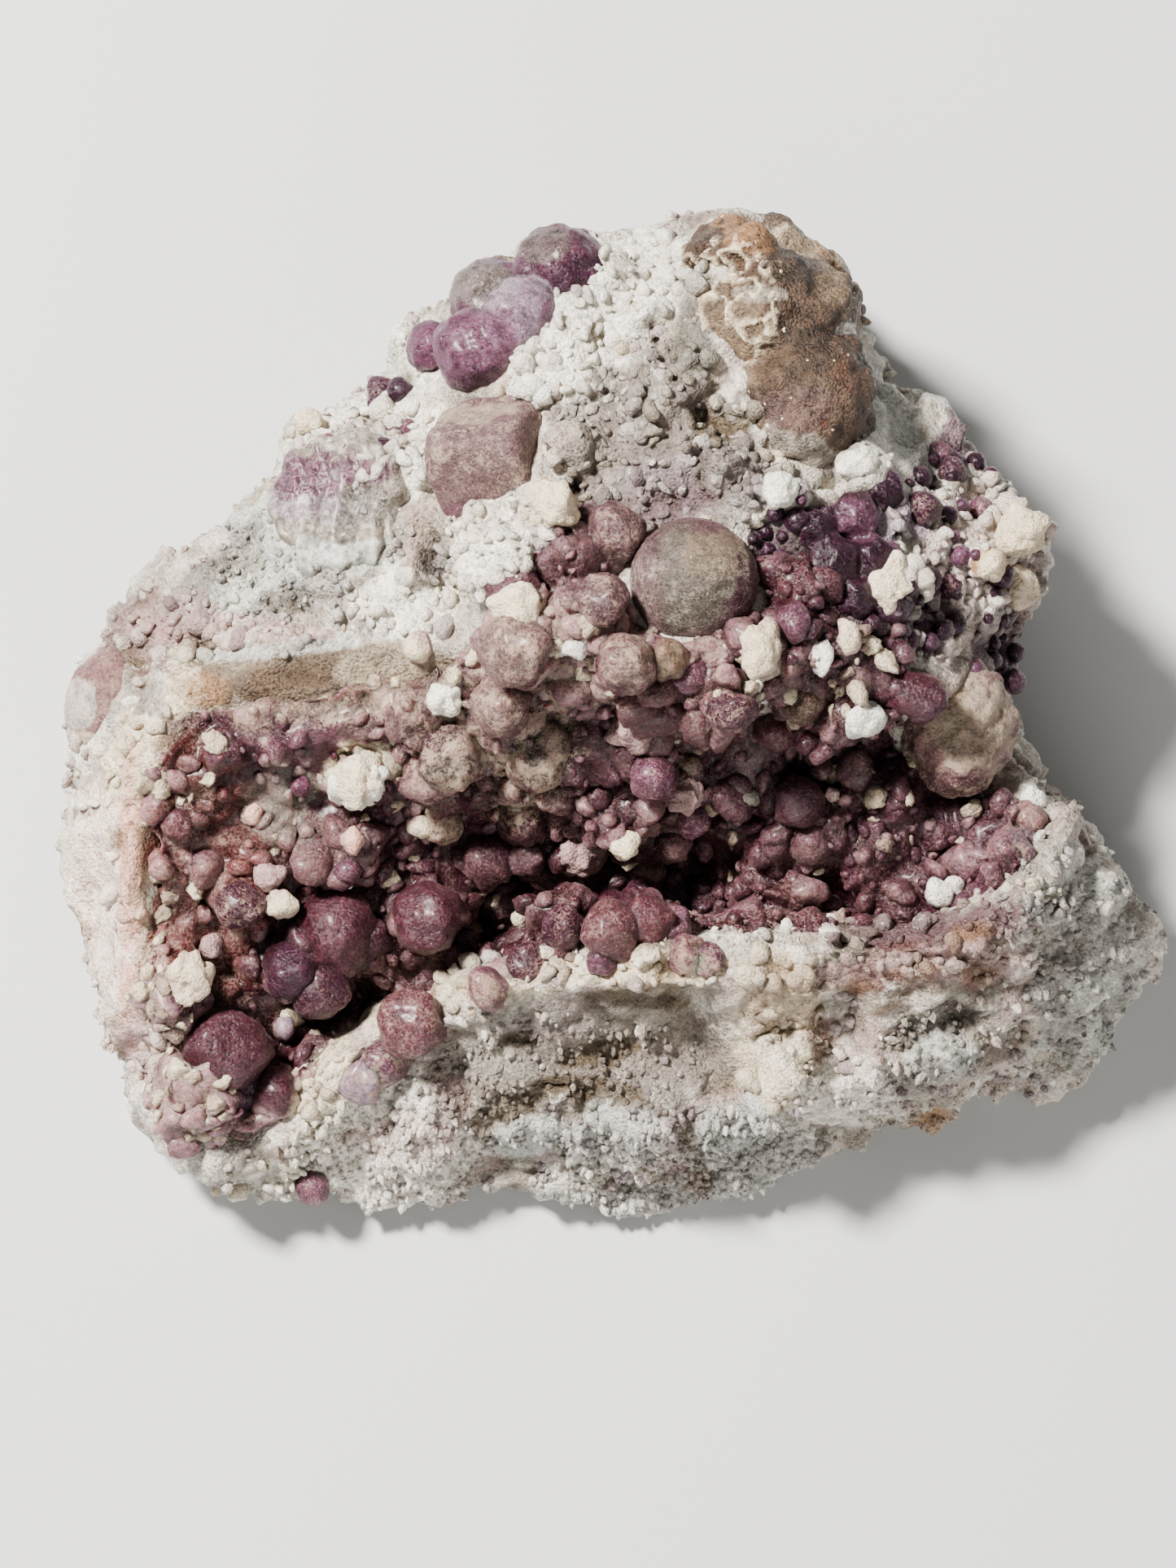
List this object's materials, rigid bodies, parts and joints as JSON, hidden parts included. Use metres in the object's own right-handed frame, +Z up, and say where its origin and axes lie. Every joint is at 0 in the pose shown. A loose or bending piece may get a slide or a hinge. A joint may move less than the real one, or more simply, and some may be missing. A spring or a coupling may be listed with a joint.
{
  "type": "fluorite with quartz specimen",
  "caption": "Hand-sized mineral specimen: pale quartz broken open along a hollow lined with purple fluorite balls, with larger fluorite crystals and a stained quartz cap on its face.",
  "frame": {"origin": "middle of the specimen's box, on the flat cut base that it rests on", "axes": "+X to the right across the show face, +Y up the show face towards its peak, +Z up from the base"},
  "size_m": [0.0602, 0.0552, 0.0294],
  "materials": {
    "white_quartz": "sugary, matt, with sparkling grains",
    "purple_fluorite": "frosted, softly translucent",
    "grey_fluorite": "frosted, softly translucent",
    "mauve_fluorite": "frosted, softly translucent",
    "pink_fluorite": "frosted satin",
    "pale_fluorite": "glassy on the cleavage, with internal cracks",
    "dark_fluorite": "satin, translucent",
    "stained_quartz": "frosted, stained with iron"
  },
  "bodies": {
    "root": {"quartz_matrix": "white_quartz", "hollow_fluorite_crust": "purple_fluorite", "grey_fluorite_ball": "grey_fluorite", "right_fluorite_ball": "mauve_fluorite", "left_fluorite_ball": "mauve_fluorite", "pink_fluorite_crystal": "pink_fluorite", "cleaved_fluorite_crystal": "pale_fluorite", "top_fluorite_cluster": "dark_fluorite", "fluorite_grape_cluster": "dark_fluorite", "stained_quartz_cap": "stained_quartz"}
  },
  "joints": []
}
